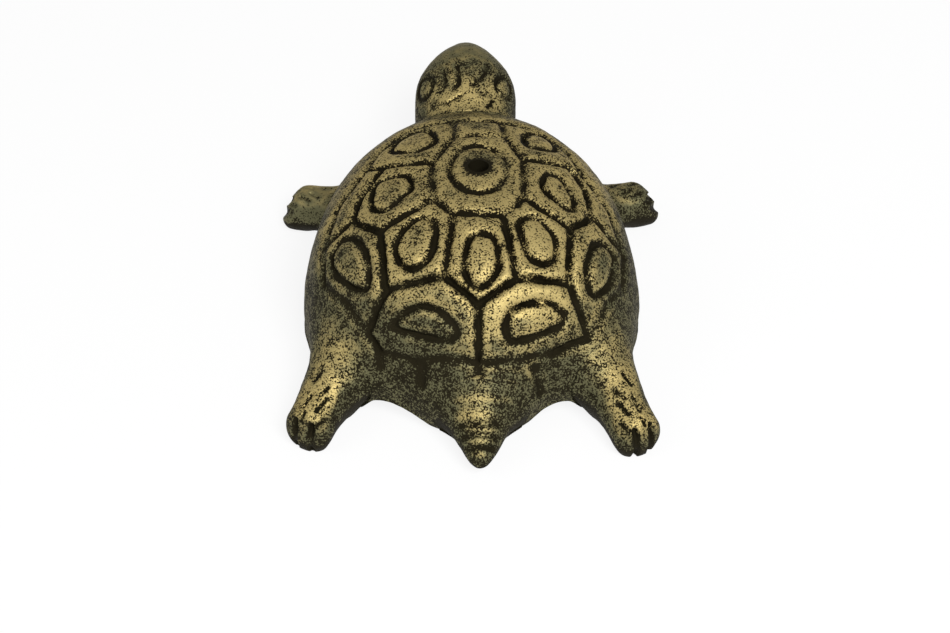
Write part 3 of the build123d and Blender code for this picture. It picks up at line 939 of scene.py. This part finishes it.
class TURTLE_OT_legs(bpy.types.Operator):
    """Cast the four legs with their toes and scales"""

    bl_idname = "turtle.legs"
    bl_label = "Legs"

    def execute(self, context):
        marks = context.scene.turtle_marks
        dome = Dome(context.scene.turtle_shell)
        forms = limb_forms(dome)
        for node in [name for name in forms if name.endswith("_leg")]:
            end, side, _ = node.split("_")
            front, right = end == "front", side == "right"
            limb = forms[node][0]
            chisel = Chisel()
            toes = FRONT_TOES if front else REAR_TOES
            lean = toes["lean"] if right else -toes["lean"]
            angles = np.radians(np.linspace(*TOE_ANGLES, 30))[:, None]
            ways = limb.along * np.cos(angles) + (limb.up + lean * limb.across) * np.sin(angles)
            for share in (-marks.toe_share, marks.toe_share):
                middle = limb.world(TOE_ALONG, share * limb.half_width, 0.0)
                chisel.line(
                    limb.skin(middle, ways * limb.half_width), toes["wide"] * marks.toe_half_width,
                    toes["deep"] * marks.toe_depth, TOE_BLACK * toes["deep"],
                )
            for stroke in LEG_STROKES:
                spots = [(along, angle if right else 180.0 - angle) for along, angle in stroke]
                chisel.stroke(limb, spots, marks, FRONT_STROKE_STRENGTH if front else 1.0)
            finish = {}
            if front:
                dull = (limb.world(PAW_ALONG, 0.0, 0.0), PAW_SPREAD, PAW_WAX[side])
                finish = {"smooth": PAW_SMOOTH[side], "spots": [dull]}
            cast_limb(context.scene, f"cast_{node}", node, forms, dome, chisel, marks.peg_radius, **finish)
        return {"FINISHED"}


class TURTLE_OT_tail(bpy.types.Operator):
    """Cast the pointed tail with its cross ridges"""

    bl_idname = "turtle.tail"
    bl_label = "Tail"

    def execute(self, context):
        marks = context.scene.turtle_marks
        dome = Dome(context.scene.turtle_shell)
        forms = limb_forms(dome)
        limb = forms["tail"][0]
        chisel = Chisel()
        for along in TAIL_VALLEYS:
            valley = [limb.on_skin(along, angle) for angle in np.linspace(*VALLEY_ANGLES, 30)]
            chisel.line(valley, marks.valley_half_width, marks.valley_depth, VALLEY_BLACK)
        spots = limb_spots(limb, TAIL_SPOTS)
        cast_limb(
            context.scene, "ridged_tail", "tail", forms, dome, chisel, marks.peg_radius, spots=spots
        )
        return {"FINISHED"}


class TURTLE_OT_stage(bpy.types.Operator):
    """Set the camera, the lamps and the pale floor"""

    bl_idname = "turtle.stage"
    bl_label = "Stage"

    def execute(self, context):
        stage = context.scene.turtle_stage
        context.scene.view_settings.view_transform = "Standard"

        camera_data = bpy.data.cameras.new("camera")
        camera_data.sensor_width = 36.0
        camera_data.angle = stage.view_angle
        camera_data.clip_start = 0.01
        camera = bpy.data.objects.new("camera", camera_data)
        back = Vector((0.0, -math.cos(stage.elevation), math.sin(stage.elevation)))
        camera.location = Vector(stage.target) + back * stage.distance
        camera.rotation_euler = back.to_track_quat("Z", "Y").to_euler()
        context.collection.objects.link(camera)
        context.scene.camera = camera

        for name, lamp in LAMPS.items():
            self.lamp(context, name, *lamp)

        bm = bmesh.new()
        bmesh.ops.create_grid(bm, x_segments=1, y_segments=1, size=FLOOR_REACH)
        mesh = bpy.data.meshes.new("floor")
        bm.to_mesh(mesh)
        bm.free()
        floor = bpy.data.objects.new("floor", mesh)
        mesh.materials.append(pale_floor(stage.floor))
        context.collection.objects.link(floor)
        bright_world(context.scene)
        return {"FINISHED"}

    def lamp(self, context, name, place, size, power):
        data = bpy.data.lights.new(name, "AREA")
        data.size = size
        data.energy = power
        lamp = bpy.data.objects.new(name, data)
        lamp.location = place
        lamp.rotation_euler = Vector(place).to_track_quat("Z", "Y").to_euler()
        context.collection.objects.link(lamp)


def to_linear(code):
    """Linear colour of an sRGB hex code."""
    parts = [int(code[k : k + 2], 16) / 255 for k in (0, 2, 4)]
    return [c / 12.92 if c <= 0.04045 else ((c + 0.055) / 1.055) ** 2.4 for c in parts] + [1.0]


def add_node(tree, kind, links=(), **settings):
    """Adds a node; settings are its own properties, or inputs where the name starts with in_."""
    node = tree.nodes.new(kind)
    for key, value in settings.items():
        if not key.startswith("in_"):
            setattr(node, key, value)
    for key, value in settings.items():
        if key.startswith("in_"):
            socket = key[3:]
            node.inputs[int(socket) if socket.isdigit() else socket.replace("_", " ")].default_value = value
    for socket, source in links:
        tree.links.new(source, node.inputs[socket])
    return node


def gilded_cast_iron():
    """Sand-cast iron, blacked, with gold wax rubbed over the raised skin.

    The wax catches on the high grain and misses the pits and the carved lines, so the eye sees soft gold with
    fine black speckle, black lines with broken edges, and dull old gold where little wax was rubbed on. The
    mesh's attributes also carry painted light and shade, which brighten some skin and darken other skin.
    """
    if "gilded_cast_iron" in bpy.data.materials:
        return bpy.data.materials["gilded_cast_iron"]
    finish = bpy.context.scene.turtle_finish
    material = bpy.data.materials.new("gilded_cast_iron")
    material.use_nodes = True
    tree = material.node_tree
    tree.nodes.clear()

    def grains(size, detail):
        place = add_node(tree, "ShaderNodeTexCoord").outputs["Object"]
        grain = add_node(
            tree, "ShaderNodeTexNoise", [("Vector", place)], in_Scale=1.0 / size, in_Detail=detail,
            in_Roughness=0.6,
        )
        return grain.outputs["Fac"]

    def weigh(value, by, then):
        """The value times a number, added to another value or number."""
        links = [(0, value)]
        settings = {"in_1": by}
        if isinstance(then, float):
            settings["in_2"] = then
        else:
            links.append((2, then))
        return add_node(tree, "ShaderNodeMath", links, operation="MULTIPLY_ADD", **settings).outputs[0]

    def fade(value, low, high, start=0.0, end=1.0):
        return add_node(
            tree, "ShaderNodeMapRange", [("Value", value)], interpolation_type="SMOOTHSTEP", in_From_Min=low,
            in_From_Max=high, in_To_Min=start, in_To_Max=end,
        ).outputs[0]

    def mix(share, first, second):
        links = [("Factor", share)]
        settings = {}
        for socket, colour in ((6, first), (7, second)):
            if isinstance(colour, str):
                settings[f"in_{socket}"] = to_linear(colour)
            else:
                links.append((socket, colour))
        return add_node(tree, "ShaderNodeMix", links, data_type="RGBA", **settings).outputs[2]

    carved = add_node(tree, "ShaderNodeAttribute", attribute_name="carved").outputs["Fac"]
    wax_and_light = add_node(tree, "ShaderNodeAttribute", attribute_name="wax_and_light").outputs["Fac"]
    fine = grains(finish.pit, 2.0)
    coarse = grains(finish.pit * 4, 2.0)
    patch = grains(finish.patch, 3.0)

    # Height of the grain over the wax line. The line is low where the skin was rubbed hard or has painted
    # light, and high where it is carved or has painted shade.
    height = weigh(wax_and_light, 0.13, weigh(carved, -0.42, weigh(patch, 0.25, weigh(coarse, 0.45, fine))))
    cover = fade(height, 0.83, 0.98)
    # The gold's tone follows the wax_and_light attribute, so its painted light and shade change the colour's
    # brightness
    tone = fade(weigh(wax_and_light, 0.9, patch), 0.65, 1.30)
    colour = mix(cover, mix(tone, finish.smear, finish.iron), mix(tone, finish.olive, finish.gold))
    bump = add_node(tree, "ShaderNodeBump", [("Height", height)], in_Strength=0.6, in_Distance=0.15 * MM)
    shader = add_node(
        tree, "ShaderNodeBsdfPrincipled",
        [("Base Color", colour), ("Roughness", fade(cover, 0.0, 1.0, 0.70, 0.45)),
         ("Metallic", fade(cover, 0.0, 1.0, 0.0, 0.45)), ("Normal", bump.outputs[0]),
         ("Specular IOR Level", fade(cover, 0.0, 1.0, 0.10, 0.30))],
        in_Specular_Tint=to_linear(finish.gold),
    )
    add_node(tree, "ShaderNodeOutputMaterial", [("Surface", shader.outputs[0])])
    return material


def pale_floor(code):
    """Matt white board, brighter to the camera than the lamps make it, so that its shadow stays soft."""
    material = bpy.data.materials.new("white_board")
    material.use_nodes = True
    tree = material.node_tree
    tree.nodes.clear()
    board = add_node(tree, "ShaderNodeBsdfDiffuse", in_Color=to_linear(code))
    glow = add_node(tree, "ShaderNodeEmission", in_Color=to_linear(code), in_Strength=1.0)
    path = add_node(tree, "ShaderNodeLightPath")
    seen = add_node(
        tree, "ShaderNodeMath", [(0, path.outputs["Is Camera Ray"]), (1, path.outputs["Is Glossy Ray"])],
        operation="ADD", use_clamp=True,
    )
    share = add_node(tree, "ShaderNodeMath", [(0, seen.outputs[0])], operation="MULTIPLY", in_1=FLOOR_GLOW)
    mix = add_node(
        tree, "ShaderNodeMixShader", [(0, share.outputs[0]), (1, board.outputs[0]), (2, glow.outputs[0])]
    )
    add_node(tree, "ShaderNodeOutputMaterial", [("Surface", mix.outputs[0])])
    return material


def bright_world(scene):
    """White surroundings, which light the figurine less than the camera sees them."""
    world = bpy.data.worlds.new("studio")
    scene.world = world
    world.use_nodes = True
    tree = world.node_tree
    tree.nodes.clear()
    path = add_node(tree, "ShaderNodeLightPath")
    strength = add_node(
        tree, "ShaderNodeMapRange", [("Value", path.outputs["Is Camera Ray"])], in_To_Min=SKY_LIGHT,
        in_To_Max=1.0,
    )
    sky = add_node(
        tree, "ShaderNodeBackground", [("Strength", strength.outputs[0])], in_Color=(1.0, 1.0, 1.0, 1.0)
    )
    add_node(tree, "ShaderNodeOutputWorld", [("Surface", sky.outputs[0])])


GROUPS = {
    "turtle_shell": TurtleShell,
    "turtle_marks": TurtleMarks,
    "turtle_finish": TurtleFinish,
    "turtle_stage": TurtleStage,
}
OPERATORS = (TURTLE_OT_carapace, TURTLE_OT_head, TURTLE_OT_legs, TURTLE_OT_tail, TURTLE_OT_stage)


class TURTLE_PT_panel(bpy.types.Panel):
    """Lists the steps of the figurine and their sizes"""

    bl_idname = "TURTLE_PT_panel"
    bl_label = "Cast Turtle"
    bl_space_type = "VIEW_3D"
    bl_region_type = "UI"
    bl_category = "Turtle"

    def draw(self, context):
        for operator in OPERATORS:
            self.layout.operator(operator.bl_idname)
        for settings in (getattr(context.scene, key) for key in GROUPS):
            column = self.layout.column()
            for key in settings.__annotations__:
                column.prop(settings, key)


def register():
    for cls in (*GROUPS.values(), *OPERATORS, TURTLE_PT_panel):
        bpy.utils.register_class(cls)
    for key, cls in GROUPS.items():
        setattr(bpy.types.Scene, key, PointerProperty(type=cls))


def unregister():
    for key in GROUPS:
        delattr(bpy.types.Scene, key)
    for cls in reversed((*GROUPS.values(), *OPERATORS, TURTLE_PT_panel)):
        bpy.utils.unregister_class(cls)


def main():
    register()
    bpy.ops.turtle.carapace()
    bpy.ops.turtle.head()
    bpy.ops.turtle.legs()
    bpy.ops.turtle.tail()
    bpy.ops.turtle.stage()


if __name__ == "__main__":
    main()
